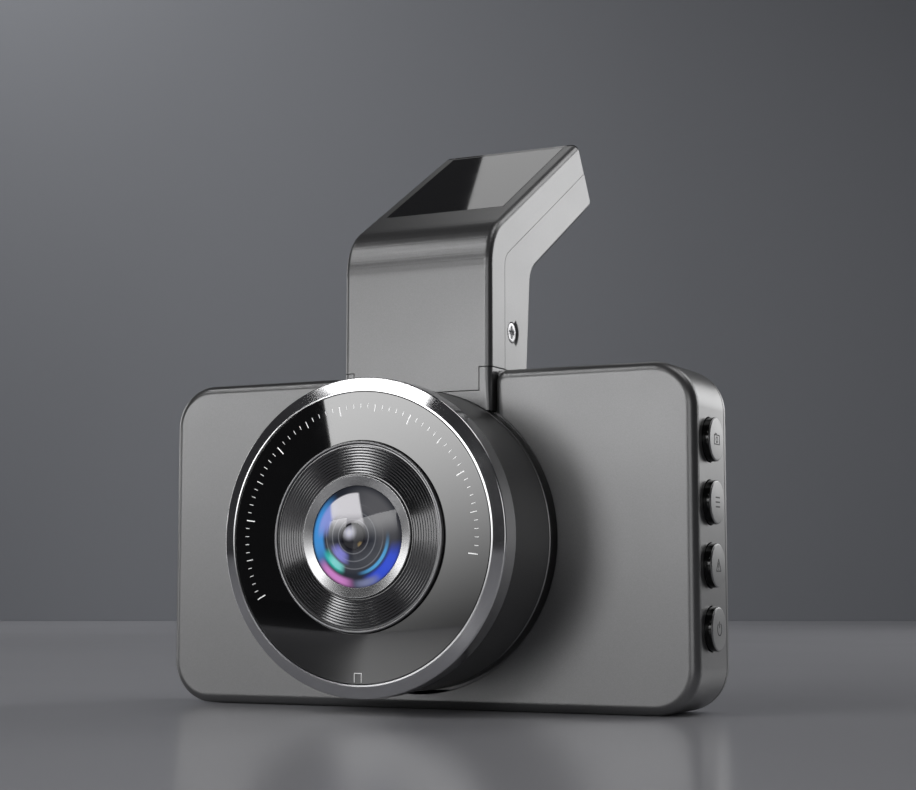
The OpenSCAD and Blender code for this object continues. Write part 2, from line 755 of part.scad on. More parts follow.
module hinge_base() {
    y0 = neck_y;
    z0 = floor_z - base_floor_t;
    ear_back = pivot.x + 0.35;
    top = body_h + ear_rise;
    pocket_back = tongue_back + hinge_gap;
    tab_z = lens_z + fix_dz;
    tab_low = min(z0, tab_z - 2.2);
    tab_top = max(min(tab_z + 2.6, frame_in_top - 0.3), z0 + 2);
    tab_y = -d_flange + tab_t + seam / 2;
    color(metal_grey) difference() {
        union() {
            difference() {
                box(-neck_w / 2, neck_w / 2, y0, base_back, z0, body_h);
                box(-tongue_x - hinge_gap, tongue_x + hinge_gap, y0 - 1, pocket_back,
                    floor_z, body_h + 1);
                rod_y(barrel_r + seam, y0 - 1, -d_flange - 0.05, 0, lens_z);
            }
            for (x = [-1, 1]) {
                mirror([x > 0 ? 0 : 1, 0, 0]) {
                    box(tongue_x + hinge_gap, neck_w / 2, y0, ear_back, floor_z, top);
                    box(neck_w / 2 - 1, fix_x + 3, tab_y, tab_y + base_tab_t, tab_low, tab_top);
                }
            }
            slab_x(-lug_x, lug_x) {
                translate(pivot) circle(lug_r);
                polygon([pivot + [-lug_front, 0], pivot + [lug_back, 0],
                    [pivot.x + lug_back, floor_z - 1], [pivot.x - lug_front, floor_z - 1]]);
            }
        }
        rod_x(pivot_r + pivot_gap, -lug_x - 1, lug_x + 1, pivot.x, pivot.y);
        for (x = [-1, 1]) rod_y(screw_r + 0.2, -6, 6, x * fix_x, tab_z);
        for (x = [-1, 1]) rod_y(boss_r + seam, -d_flange - 1, -d_flange + tab_t, x * fix_x, tab_z);
    }
}

// Side outlines of the bracket's pieces
front_line = side_line([neck_y, seam_z], 90, 0, bend_r, head_len - head_end_r);
part_line = side_line([neck_y + part_dn, seam_z], 90, part_dh, 3, head_len);
back_foot = meet(neck_back, 90 - neck_lean, [0, seam_z], 0);
back_line = side_line(back_foot, 90 - neck_lean, head_t, back_bend_r, head_len - head_end_r);
end_round = 90 + head_slope;

module front_shape() {
    polygon(concat(front_line, [on_head(head_len, head_end_r)], flip(part_line)));
}

module back_shape() {
    polygon(concat(part_line, [on_head(head_len, head_t - head_end_r)], flip(back_line)));
}

module hollow_shape() {
    foot = seam_z - 8;
    inner_front = side_line([neck_y + neck_wall, foot], 90, head_wall, bend_r - neck_wall,
        head_len - neck_wall);
    inner_back = side_line(meet(back_foot - [neck_wall, 0], 90 - neck_lean, [0, foot], 0),
        90 - neck_lean, head_t - neck_wall, back_bend_r + neck_wall, head_len - neck_wall);
    polygon(concat(inner_front, flip(inner_back)));
}

// Place children on the head: X across, Y along its slope, Z out of its top plane
module on_slope() {
    translate([0, corner_p.x, corner_p.y]) rotate([head_slope, 0, 0]) children();
}

module tongue(y0, y1) {
    difference() {
        box(-tongue_x, tongue_x, y0, y1, tongue_z, pivot.y + 3);
        box(-tongue_x + tongue_wall, tongue_x - tongue_wall, neck_y + neck_wall, y1 + 1,
            tongue_z - 1, pivot.y + 4);
    }
}

module bracket_front() {
    color(metal_grey) difference() {
        union() {
            difference() {
                slab_x(-neck_w / 2, neck_w / 2) front_shape();
                slab_x(-neck_in_x, neck_in_x) hollow_shape();
            }
            tongue(neck_y, neck_y + part_dn);
        }
        rod_x(pivot_boss_r + seam, -neck_in_x - 0.6, neck_in_x + 0.6, pivot.x, pivot.y);
        on_slope() {
            box(-pad_w / 2 - seam, pad_w / 2 + seam, pad_s0 - seam, pad_s0 + pad_len + seam,
                -recess_t, 1);
            for (s = fix_s) translate([0, s, 0]) {
                rod_z(screw_r + 0.2, -head_wall - 1, 1, 0, 0);
                rod_z(head_r + 0.15, -recess_t - screw_head_t - 0.1, 1, 0, 0);
            }
        }
    }
}

module bracket_rear() {
    wedge = 12;
    color(metal_grey) difference() {
        union() {
            difference() {
                slab_x(-neck_w / 2, neck_w / 2) back_shape();
                slab_x(-neck_in_x, neck_in_x) hollow_shape();
            }
            tongue(neck_y + part_dn, tongue_back);
            for (x = [-1, 1]) mirror([x > 0 ? 0 : 1, 0, 0])
                rod_x(pivot_boss_r, boss_face_x, neck_in_x + 0.5, pivot.x, pivot.y);
            on_slope() for (s = fix_s)
                rod_z(corner_boss_r, -head_t + neck_wall - EPS, -head_wall - seam, 0, s);
        }
        slab_x(-neck_w / 2 - 1, neck_w / 2 + 1) polygon([[pivot.x + 0.5, seam_z - 8],
            [pivot.x + wedge, seam_z - 8],
            [pivot.x + wedge, seam_z + (wedge - 0.5) * tan(relief_a)],
            [pivot.x + 0.5, seam_z]]);
        for (x = [-1, 1]) mirror([x > 0 ? 0 : 1, 0, 0]) {
            rod_x(pivot_r + EPS, boss_face_x - 1, pin_x + 0.05, pivot.x, pivot.y);
            rod_x(pivot_screw_r + 0.15, pin_x - 1, neck_w / 2 + 1, pivot.x, pivot.y);
            rod_x(pivot_head_r + 0.15, neck_w / 2 - pivot_head_t - 0.1, neck_w / 2 + 1,
                pivot.x, pivot.y);
        }
        on_slope() for (s = fix_s)
            rod_z(screw_r + pilot_gap, -head_t + neck_wall + 0.5, 0, 0, s);
    }
}

module adhesive_pad() {
    color(dark_grey) on_slope() box(-pad_w / 2, pad_w / 2, pad_s0, pad_s0 + pad_len,
        -recess_t, -film_t);
}

module pad_film() {
    color(gloss_black) on_slope() box(-pad_w / 2, pad_w / 2, pad_s0, pad_s0 + pad_len,
        -film_t, 0);
}

module pivot_pin() {
    color("silver") difference() {
        rod_x(pivot_r, -pin_x, pin_x, pivot.x, pivot.y);
        for (x = [-1, 1]) mirror([x > 0 ? 0 : 1, 0, 0])
            rod_x(pivot_screw_r + pilot_gap, pin_x - 3.5, pin_x + 1, pivot.x, pivot.y);
    }
}

module pivot_screws() {
    color("silver") for (x = [-1, 1]) mirror([x > 0 ? 0 : 1, 0, 0])
        translate([0, pivot.x, pivot.y]) rotate([0, 0, -90])
            screw(neck_w / 2 - pivot_head_t - 0.05, neck_w / 2 - pin_x + 1.6,
                pivot_screw_r, pivot_head_r, pivot_head_t);
}

module friction_washers() {
    color("silver") for (x = [-1, 1]) mirror([x > 0 ? 0 : 1, 0, 0]) difference() {
        rod_x(pivot_boss_r - 0.2, lug_x + washer_gap, lug_x + washer_gap + washer_t,
            pivot.x, pivot.y);
        rod_x(pivot_r + 0.1, lug_x - 1, lug_x + 2, pivot.x, pivot.y);
    }
}

module bracket_screws() {
    color("silver") on_slope() for (s = fix_s) translate([0, s, 0]) rotate([90, 0, 0])
        screw(-recess_t - screw_head_t - 0.05, 5.5);
}

front_cover();
side_frame();
rear_cover();
cover_glass();
display_panel();
main_board();
processor();
memory_chips();
wifi_module();
power_coils();
battery();
speaker();
microphone();
card_socket();
memory_card();
usb_socket();
av_jack();
key_board();
key_switches();
button(button_z[0]);  // button_camera
button(button_z[1]);  // button_menu
button(button_z[2]);  // button_alert
button(button_z[3]);  // button_power
plunger(button_z[0]);  // plunger_camera
plunger(button_z[1]);  // plunger_menu
plunger(button_z[2]);  // plunger_alert
plunger(button_z[3]);  // plunger_power
barrel_housing();
bezel_ring();
face_plate();
accent_ring();
groove_ring();
lens_ring();
front_lens();
lens_barrel();
second_lens();
rear_lens();
aperture_stop();
ir_filter();
lens_holder();
image_sensor();
sensor_board();
sensor_screws();
sensor_flex();
display_flex();
frame_screws();
body_screws();
hinge_base();
bracket_front();
bracket_rear();
adhesive_pad();
pad_film();
pivot_pin();
pivot_screws();
friction_washers();
bracket_screws();
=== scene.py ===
"""A dash camera: flat body, ringed lens barrel, side keys and a tilting windscreen bracket."""

import json
from math import atan2, ceil, cos, hypot, pi, radians, sin, sqrt, tan

import bpy
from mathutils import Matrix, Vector


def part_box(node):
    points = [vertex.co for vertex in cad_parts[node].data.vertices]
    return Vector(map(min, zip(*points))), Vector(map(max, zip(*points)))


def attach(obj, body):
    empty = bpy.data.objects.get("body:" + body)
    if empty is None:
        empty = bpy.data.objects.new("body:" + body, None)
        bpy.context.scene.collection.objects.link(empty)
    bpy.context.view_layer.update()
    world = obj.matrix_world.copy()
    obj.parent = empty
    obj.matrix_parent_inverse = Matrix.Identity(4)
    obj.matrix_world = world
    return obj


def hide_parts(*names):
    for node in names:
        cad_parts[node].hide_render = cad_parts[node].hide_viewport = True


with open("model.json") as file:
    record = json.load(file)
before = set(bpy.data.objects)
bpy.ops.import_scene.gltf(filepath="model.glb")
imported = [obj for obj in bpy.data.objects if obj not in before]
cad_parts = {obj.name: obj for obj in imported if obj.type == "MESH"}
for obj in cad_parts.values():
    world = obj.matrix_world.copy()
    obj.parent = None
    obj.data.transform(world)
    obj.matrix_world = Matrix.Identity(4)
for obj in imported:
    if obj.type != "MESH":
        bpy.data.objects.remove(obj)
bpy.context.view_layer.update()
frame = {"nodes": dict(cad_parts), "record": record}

MM = 0.001
NODES = frame["nodes"]
ops = bpy.ops


# ---- Modelling helpers; every size and place is in millimetres ----

def ends(node):
    """Lowest and highest corner of a CAD node, in millimetres."""
    low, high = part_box(node)
    return low / MM, high / MM


def edit(piece, kind="EDGE"):
    ops.object.mode_set(mode="OBJECT")
    ops.object.select_all(action="DESELECT")
    piece.select_set(True)
    bpy.context.view_layer.objects.active = piece
    ops.object.mode_set(mode="EDIT")
    ops.mesh.select_mode(type=kind)
    ops.mesh.select_all(action="SELECT")


def settle(piece, angle=35):
    """Back to object mode, with round surfaces smooth and flat ones flat."""
    ops.object.mode_set(mode="OBJECT")
    ops.object.select_all(action="DESELECT")
    piece.select_set(True)
    bpy.context.view_layer.objects.active = piece
    ops.object.shade_smooth_by_angle(angle=radians(angle))
    return piece


def weigh(piece):
    """Keeps big flat faces flat beside their rounded edges."""
    modifier = piece.modifiers.new("weigh", "WEIGHTED_NORMAL")
    modifier.keep_sharp = True
    return apply_all(piece)


def apply_all(piece):
    ops.object.mode_set(mode="OBJECT")
    ops.object.select_all(action="DESELECT")
    piece.select_set(True)
    bpy.context.view_layer.objects.active = piece
    for modifier in list(piece.modifiers):
        ops.object.modifier_apply(modifier=modifier.name)
    return piece


def choose(piece, test):
    """Selects the edges whose two ends, in millimetres, pass the test."""
    edit(piece)
    ops.mesh.select_all(action="DESELECT")
    ops.object.mode_set(mode="OBJECT")
    vertices = piece.data.vertices
    for edge in piece.data.edges:
        a, b = (vertices[i].co / MM for i in edge.vertices)
        edge.select = bool(test(a, b))
    ops.object.mode_set(mode="EDIT")


def round_edges(piece, test, width, segments=4):
    choose(piece, test)
    ops.mesh.bevel(offset=width * MM, segments=segments, profile=0.5, affect="EDGES",
                   clamp_overlap=False)
    ops.object.mode_set(mode="OBJECT")


def rounded(corners, turn=9):
    """A closed outline whose corners (a, b, radius) are rounded."""
    points = []
    for i, (a, b, r) in enumerate(corners):
        here = Vector((a, b))
        if not r:
            points.append(here)
            continue
        before = (Vector(corners[i - 1][:2]) - here).normalized()
        after = (Vector(corners[(i + 1) % len(corners)][:2]) - here).normalized()
        half = before.angle(after) / 2
        centre = here + (before + after).normalized() * r / sin(half)
        first = here + before * r / tan(half) - centre
        last = here + after * r / tan(half) - centre
        start = atan2(first.y, first.x)
        sweep = (atan2(last.y, last.x) - start + pi) % (2 * pi) - pi
        count = max(2, ceil(abs(sweep) / radians(turn)))
        for k in range(count + 1):
            angle = start + sweep * k / count
            points.append(centre + Vector((cos(angle), sin(angle))) * r)
    return points


def rectangle(x0, x1, z0, z1, r):
    return rounded([(x0, z0, r), (x1, z0, r), (x1, z1, r), (x0, z1, r)], 5)


def draw(name, points):
    """Draws a closed line through 3-D points by extruding one vertex along them."""
    ops.object.select_all(action="DESELECT")
    ops.mesh.primitive_plane_add(size=MM)
    piece = bpy.context.object
    piece.name = piece.data.name = name
    ops.object.mode_set(mode="EDIT")
    ops.mesh.select_mode(type="VERT")
    ops.mesh.merge(type="CENTER")
    here = Vector((0, 0, 0))
    for i, point in enumerate([*points, points[0]]):
        step = tuple((point - here) * MM)
        if i == 0:
            ops.transform.translate(value=step)
        else:
            ops.mesh.extrude_vertices_move(TRANSFORM_OT_translate={"value": step})
        here = point
    ops.mesh.select_all(action="SELECT")
    ops.mesh.remove_doubles(threshold=1e-6)
    return piece


def slab(name, outline, low, high):
    """Extrudes a closed outline of (x, z) points from y = low to y = high."""
    piece = draw(name, [Vector((a, low, b)) for a, b in outline])
    ops.mesh.select_all(action="SELECT")
    ops.mesh.edge_face_add()
    ops.mesh.extrude_region_move(TRANSFORM_OT_translate={"value": (0, (high - low) * MM, 0)})
    ops.mesh.select_all(action="SELECT")
    ops.mesh.normals_make_consistent(inside=False)
    ops.object.mode_set(mode="OBJECT")
    return piece


def lathe(name, profile, centre=(0, 0, 0), across="Y", steps=144, angle=35, sweep=360):
    """Spins a closed profile of (radius, height) points about an axis."""
    cx, cy, cz = centre
    if across == "Y":
        points = [Vector((cx + r, h, cz)) for r, h in profile]
        axis, middle = (0, 1, 0), (cx * MM, 0, cz * MM)
    else:
        points = [Vector((h, cy, cz + r)) for r, h in profile]
        axis, middle = (1, 0, 0), (0, cy * MM, cz * MM)
    piece = draw(name, points)
    if sum(r == 0 for r, h in profile) == 2:
        choose(piece, lambda a, b: all(
            hypot(*((v.x - cx, v.z - cz) if across == "Y" else (v.y - cy, v.z - cz))) < 1e-4
            for v in (a, b)))
        ops.mesh.delete(type="EDGE")
    edit(piece, "VERT")
    if sweep < 360:
        ops.mesh.edge_face_add()
    ops.mesh.spin(steps=steps, angle=radians(sweep), center=middle, axis=axis)
    ops.mesh.select_all(action="SELECT")
    ops.mesh.remove_doubles(threshold=2e-6)
    ops.mesh.normals_make_consistent(inside=False)
    return weigh(settle(piece, angle))


def cut(piece, *cutters):
    """Takes cutters out of a piece and removes them."""
    for cutter in cutters:
        modifier = piece.modifiers.new("cut", "BOOLEAN")
        modifier.operation = "DIFFERENCE"
        modifier.solver = "EXACT"
        modifier.object = cutter
        apply_all(piece)
        bpy.data.objects.remove(cutter)
    return piece


def block(name, x0, x1, y0, y1, z0, z1):
    """A cube primitive stretched between two corners."""
    ops.object.select_all(action="DESELECT")
    ops.mesh.primitive_cube_add(size=1)
    piece = bpy.context.object
    piece.name = piece.data.name = name
    ops.object.mode_set(mode="EDIT")
    ops.transform.resize(value=((x1 - x0) * MM, (y1 - y0) * MM, (z1 - z0) * MM))
    ops.transform.translate(value=((x0 + x1) / 2 * MM, (y0 + y1) / 2 * MM, (z0 + z1) / 2 * MM))
    ops.object.mode_set(mode="OBJECT")
    return piece


def join(name, pieces):
    ops.object.select_all(action="DESELECT")
    for piece in pieces:
        piece.select_set(True)
    bpy.context.view_layer.objects.active = pieces[0]
    ops.object.join()
    pieces[0].name = pieces[0].data.name = name
    return pieces[0]


def refine(node, name):
    """A merged copy of a CAD node with whole faces, ready for its edges to be rounded."""
    piece = bpy.data.objects.new(name, NODES[node].data.copy())
    bpy.context.scene.collection.objects.link(piece)
    piece.data.name = name
    piece.data.materials.clear()
    edit(piece, "VERT")
    ops.mesh.customdata_custom_splitnormals_clear()
    ops.mesh.remove_doubles(threshold=1e-6)
    ops.mesh.dissolve_limited(angle_limit=radians(0.6))
    ops.object.mode_set(mode="OBJECT")
    return piece


def place(piece, body, nodes, finish):
    """Rides a piece on a body, for the CAD nodes it stands for, in a finish."""
    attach(piece, body)
    if nodes:
        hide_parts(*nodes)
    piece.data.materials.clear()
    piece.data.materials.append(finish)


# ---- Shader helpers ----

class Wire:
    """A shader socket that Python's operators add Math nodes to."""

    def __init__(self, finish, socket):
        self.finish, self.socket = finish, socket

    def math(self, operation, *others, swap=False):
        values = [*others, self] if swap else [self, *others]
        return self.finish.add("Math", dict(enumerate(values)), operation=operation)

    def __add__(self, other): return self.math("ADD", other)
    def __sub__(self, other): return self.math("SUBTRACT", other)
    def __mul__(self, other): return self.math("MULTIPLY", other)
    def __truediv__(self, other): return self.math("DIVIDE", other)
    def __pow__(self, other): return self.math("POWER", other)
    def __rsub__(self, other): return self.math("SUBTRACT", other, swap=True)
    def __rtruediv__(self, other): return self.math("DIVIDE", other, swap=True)
    __radd__, __rmul__ = __add__, __mul__

    def over(self, limit): return self.math("GREATER_THAN", limit)

    def step(self, low, high):
        """0 below low, 1 above high and smooth between."""
        return self.finish.add("MapRange", {"Value": self, "From Min": low, "From Max": high},
                               interpolation_type="SMOOTHSTEP")


class Finish:
    """A material built round one Principled shader."""

    def __init__(self, name, color, rough, metal=0.0, **constants):
        self.material = bpy.data.materials.new(name)
        self.material.use_nodes = True
        self.material.diffuse_color = (*color, 1)
        self.tree = self.material.node_tree
        self.shader = next(n for n in self.tree.nodes if n.type == "BSDF_PRINCIPLED")
        self.put("Base Color", (*color, 1))
        self.put("Roughness", rough)
        self.put("Metallic", metal)
        for key, value in constants.items():
            self.put(key.replace("_", " "), value)

    def put(self, socket, value):
        """Sets one of the shader's sockets to a constant or links it."""
        target = self.shader.inputs[socket]
        if isinstance(value, Wire):
            self.tree.links.new(value.socket, target)
        else:
            target.default_value = value
        return self

    def add(self, kind, values=(), out=0, stops=(), **settings):
        """Adds a node: its settings first, then the values or links of its sockets."""
        node = self.tree.nodes.new("ShaderNode" + kind)
        for key, value in settings.items():
            setattr(node, key, value)
        if stops:
            ramp = node.color_ramp.elements
            while len(ramp) < len(stops):
                ramp.new(1.0)
            for element, (spot, value) in zip(ramp, stops):
                element.position = spot
                element.color = (*value, 1) if isinstance(value, tuple) else (value,) * 3 + (1,)
        for key, value in dict(values).items():
            if isinstance(value, Wire):
                self.tree.links.new(value.socket, node.inputs[key])
            else:
                node.inputs[key].default_value = value
        return Wire(self, node.outputs[out])

    def coords(self):
        return self.add("TexCoord", out="Object")

    def split(self, vector):
        outputs = self.add("SeparateXYZ", {0: vector}).socket.node.outputs
        return [Wire(self, output) for output in outputs]

    def noise(self, size, detail=3.0, rough=0.5, vector=None):
        """Noise whose lumps are about size mm across."""
        return self.add("TexNoise", {"Vector": vector or self.coords(), "Scale": 1 / (size * MM),
                                     "Detail": detail, "Roughness": rough})

    def cells(self, size, feature="F1", vector=None, out=0):
        return self.add("TexVoronoi", {"Vector": vector or self.coords(),
                                       "Scale": 1 / (size * MM)}, out=out, feature=feature)

    def mix(self, factor, first, second):
        """Mixes two colours, each a tuple or a link."""
        def color(value):
            return value if isinstance(value, Wire) else (*value, 1)
        return self.add("Mix", {0: factor, 6: color(first), 7: color(second)},
                        out=2, data_type="RGBA")

    def bump(self, height, depth):
        """A Bump node: height 1 stands depth mm proud."""
        return self.add("Bump", {"Height": height, "Distance": depth * MM, "Strength": 1.0})


def tint(color, factor):
    return tuple(min(1.0, c * factor) for c in color)


def painted(name, color, rough, metal, flake=0.06, grain=0.12):
    """Satin metallic paint: fine flakes, faint orange peel and clouded gloss."""
    f = Finish(name, color, rough, metal)
    glint = f.split(f.cells(0.09, out="Color"))[0]
    cloud = f.noise(9, 2)
    f.put("Base Color", f.mix(glint, tint(color, 1 - flake), tint(color, 1 + flake)))
    f.put("Roughness", rough + (cloud - 0.5) * 0.05 + (glint - 0.5) * 0.03)
    peel = f.noise(grain, 2, 0.6)
    f.put("Normal", f.bump(peel, 0.0012))
    return f.material


def key_finish(name, color, top):
    """Keys: satin metallic tops; the gloss sides are painted near black as painted shade for their
    dark reflection.
    """
    f = Finish(name, color, 0.3, 0.8)
    x = f.split(f.coords())[0]
    face = x.step(top * MM, (top + 0.08) * MM)
    flakes = f.split(f.cells(0.08, out="Color"))[0]
    # Painted shade: below the top face the sides are painted near black, standing in for the dark
    # reflection they show.
    f.put("Base Color", f.mix(face, (0.004, 0.004, 0.004),
                              f.mix(flakes, tint(color, 0.94), tint(color, 1.06))))
    f.put("Metallic", face * 0.8)
    f.put("Roughness", 0.12 + face * 0.2 + (f.noise(3, 3) - 0.5) * 0.04)
    return f.material


def turned_metal(name, color, rough, centre, line=0.05):
    """Polished metal with fine turning lines about an axis along Y and faint wear."""
    f = Finish(name, color, rough, 1.0)
    x, y, z = f.split(f.coords())
    a, b = x - centre[0] * MM, z - centre[2] * MM
    radius = (a * a + b * b) ** 0.5
    rings = f.add("TexNoise", {"Vector": f.add("CombineXYZ", {0: radius, 1: y}),
                               "Scale": 1 / (line * MM), "Detail": 2.0})
    wear = f.noise(2.5, 4)
    f.put("Roughness", rough + (rings - 0.5) * 0.08 + (wear - 0.5) * 0.06)
    f.put("Base Color", f.mix(wear, tint(color, 0.92), tint(color, 1.04)))
    f.put("Normal", f.bump(rings, 0.0004))
    return f.material


def glossy(name, color, rough, **constants):
    """Polished black resin or glass with faint smears and dust."""
    f = Finish(name, color, rough, 0.0, **constants)
    smear = f.noise(14, 4, 0.6)
    dust = f.noise(0.35, 1).step(0.72, 0.8)
    f.put("Roughness", rough + smear.step(0.45, 0.8) * 0.03 + dust * 0.05)
    f.put("Base Color", f.mix(dust * 0.25, color, tint(color, 3)))
    return f.material


def moulded(name, color, rough, grain=0.2, depth=0.006, metal=0.0, **constants):
    """Moulded plastic or rubber: fine spark-eroded grain and uneven gloss."""
    f = Finish(name, color, rough, metal, **constants)
    fine = f.noise(grain, 3, 0.6)
    wide = f.noise(6, 3)
    f.put("Base Color", f.mix(fine * 0.5 + wide * 0.5, tint(color, 0.8), tint(color, 1.2)))
    f.put("Roughness", rough + (wide - 0.5) * 0.12)
    f.put("Normal", f.bump(fine, depth))
    return f.material


def brushed(name, color, rough, stretch=(1, 1, 30), size=0.08):
    """Rolled or brushed sheet metal with lines along its long side."""
    f = Finish(name, color, rough, 1.0)
    lines = f.noise(size, 3, 0.6, f.add("Mapping", {"Vector": f.coords(), "Scale": (
        1 / stretch[0], 1 / stretch[1], 1 / stretch[2])}))
    stain = f.noise(4, 3)
    f.put("Roughness", rough + (lines - 0.5) * 0.12 + (stain - 0.5) * 0.08)
    f.put("Base Color", f.mix(stain, tint(color, 0.85), tint(color, 1.05)))
    f.put("Normal", f.bump(lines, 0.0015))
    return f.material


def circuit(name, color, rough=0.35):
    """Solder mask over copper tracks, with vias."""
    f = Finish(name, color, rough, 0.0, Coat_Weight=0.4, Coat_Roughness=0.15)
    pads = f.cells(1.1, "DISTANCE_TO_EDGE", out="Distance")
    tracks = f.cells(1.7, out="Distance", vector=f.add("Mapping", {
        "Vector": f.coords(), "Scale": (0.35, 1, 1)})).step(0.42, 0.46)
    via = f.cells(2.3).step(0.16, 0.12)
    copper = (0.55, 0.36, 0.12)
    masked = f.mix(tracks, color, tint(color, 1.9))
    f.put("Base Color", f.mix(via, masked, copper))
    f.put("Metallic", via * 0.9)
    f.put("Roughness", rough + pads.step(0.0, 0.1) * 0.05)
    f.put("Normal", f.bump(tracks + via * 0.5, 0.02))
    return f.material


LENS_Z = (ends("front_lens")[0].z + ends("front_lens")[1].z) / 2
AXIS = (0, 0, LENS_Z)


def lens_with_painted_light(name, radius):
    """Front lens: dark glass over ringed elements, with painted reflections: blue, green and
    violet coating crescents, a pale window and a grey haze, a painted highlight and glint on the
    centre ball, and a faint painted glow.
    """
    f = Finish(name, (0.01, 0.012, 0.02), 0.02, 0.0, Coat_Weight=0.4, Coat_Roughness=0.01,
               IOR=1.35)
    x, _, z = f.split(f.coords())
    u, v = x / (radius * MM), (z - LENS_Z * MM) / (radius * MM)
    rho = (u * u + v * v) ** 0.5

    def toward(angle, low, high):
        """1 in the sector round a direction, fading to its sides."""
        side = (u * cos(radians(angle)) + v * sin(radians(angle))) / (rho + 0.02)
        return side.step(low, high)

    def ring(inner, outer, soft=0.05):
        return rho.step(inner - soft, inner + soft) * (1 - rho.step(outer - soft, outer + soft))

    base = f.add("ValToRGB", {"Fac": rho}, stops=(
        (0.0, (0.02, 0.02, 0.03)), (0.26, (0.015, 0.015, 0.025)), (0.45, (0.05, 0.055, 0.07)),
        (0.6, (0.07, 0.075, 0.09)), (0.75, (0.03, 0.035, 0.05)), (1.0, (0.02, 0.022, 0.03))))
    rings = (rho * 42).math("SINE").step(0.75, 1.0) * ring(0.3, 0.72)
    color = f.mix(rings * 0.35, base, (0.45, 0.46, 0.5))
    # Painted reflections: coloured crescents of the coatings in blue, green, violet and magenta,
    # and a grey haze to the upper right, each painted into one sector of the lens.
    painted_coating_reflections = (
        (toward(172, 0.55, 0.98) * ring(0.72, 0.98), (0.08, 0.38, 0.9)),
        (toward(150, 0.8, 1.0) * ring(0.6, 0.86), (0.35, 0.42, 0.95)),
        (toward(225, 0.86, 0.99) * ring(0.62, 0.78), (0.05, 0.75, 0.62)),
        (toward(232, 0.9, 1.0) * ring(0.6, 0.74, 0.03), (0.35, 0.95, 0.95)),
        (toward(238, 0.82, 0.98) * ring(0.84, 0.99), (0.85, 0.32, 0.8)),
        (toward(228, 0.8, 1.0) * ring(0.36, 0.56, 0.04), (0.3, 0.3, 0.9)),
        (toward(318, 0.75, 0.98) * ring(0.8, 0.99), (0.05, 0.12, 0.95)),
        (toward(322, 0.62, 0.95) * ring(0.7, 0.76, 0.02), (0.12, 0.5, 0.95)),
        (toward(285, 0.9, 1.0) * ring(0.86, 0.99), (0.3, 0.33, 0.55)),
        (toward(40, 0.3, 1.0) * ring(0.5, 0.95, 0.1), (0.13, 0.13, 0.14)),
    )
    for factor, shade in painted_coating_reflections:
        color = f.mix(factor, color, shade)
    # Painted reflection: a pale window-shaped patch in the upper left of the lens.
    painted_window_reflection = ((u + v * 0.2).step(-0.5, -0.4) * (1 - (u + v * 0.3).step(0.28, 0.34))
            * v.step(0.1, 0.5) * (1 - rho.step(0.84, 0.88)))
    color = f.mix(painted_window_reflection * 0.9, color, (0.95, 0.93, 0.97))
    # Centre ball: its colour carries a painted highlight up and to the left and a painted orange
    # glint low on the right.
    ball = 1 - rho.step(0.235, 0.25)
    du, dv = u + 0.09, v - 0.08
    painted_highlight = 1 - ((du * du + dv * dv) ** 0.5).step(0.0, 0.2)
    painted_glint = toward(315, 0.85, 1.0) * ring(0.17, 0.235, 0.02)
    ball_with_painted_light = f.mix(painted_glint, f.mix(painted_highlight, (0.03, 0.03, 0.035), (0.85, 0.85, 0.98)), (0.8, 0.55, 0.2))
    rim = ring(0.235, 0.275, 0.015)
    color = f.mix(rim, f.mix(ball, color, ball_with_painted_light), (0.01, 0.01, 0.015))
    f.put("Base Color", color)
    # Painted glow: the lens colours, painted reflections included, also glow faintly, though the
    # lens is no lamp.
    f.put("Emission Color", color)
    f.put("Emission Strength", 0.3)
    f.put("Roughness", 0.03 + f.noise(5, 3).step(0.5, 0.8) * 0.02)
    return f.material


def screen(name, low, high):
    """Cover glass of the display: black border print and a faint grey active area."""
    f = Finish(name, (0.006, 0.006, 0.007), 0.04, 0.0, Coat_Weight=0.5, Coat_Roughness=0.02)
    x, _, z = f.split(f.coords())
    half_width, half_height, middle = 33.2, 18.7, (low.z + high.z) / 2
    inside = ((1 - x.math("ABSOLUTE").over(half_width * MM))
              * (1 - (z - middle * MM).math("ABSOLUTE").over(half_height * MM)))
    smear = f.noise(16, 4, 0.6).step(0.5, 0.8)
    dots = f.add("TexChecker", {"Vector": f.coords(), "Scale": 1 / (0.14 * MM),
                                  "Color1": (1, 1, 1, 1), "Color2": (0, 0, 0, 1)}, out="Fac")
    f.put("Base Color", f.mix(inside, (0.003, 0.003, 0.0035),
                              f.mix(dots * 0.3, (0.014, 0.015, 0.018), (0.03, 0.03, 0.034))))
    f.put("Roughness", 0.04 + smear * 0.05)
    return f.material


GUNMETAL = (0.235, 0.235, 0.237)
housing = painted("gunmetal_satin", GUNMETAL, 0.33, 0.86)
key_paint = key_finish("key_satin", (0.3, 0.3, 0.302), ends("button_menu")[1].x - 0.2)
bezel_metal = turned_metal("bezel_polish", (0.8, 0.8, 0.81), 0.1, AXIS)
ring_metal = turned_metal("ring_satin", (0.4, 0.4, 0.405), 0.2, AXIS)
accent_metal = turned_metal("accent_satin", (0.25, 0.25, 0.255), 0.3, AXIS)
disc_gloss = glossy("disc_black", (0.002, 0.002, 0.0022), 0.02, IOR=1.75, Coat_Weight=1.0,
                    Coat_IOR=1.6, Coat_Roughness=0.01)
groove_black = turned_metal("groove_black", (0.2, 0.2, 0.203), 0.16, AXIS, line=0.03)
tick_print = moulded("tick_print", (0.95, 0.95, 0.95), 0.38, depth=0.001, metal=1.0)
icon_print = moulded("icon_print", (0.012, 0.012, 0.014), 0.5, depth=0.002)
lens_coating = lens_with_painted_light("lens_coating", 7.6)
film_gloss = glossy("film_black", (0.002, 0.002, 0.0022), 0.03, IOR=1.8, Coat_Weight=0.5,
                    Coat_Roughness=0.02)
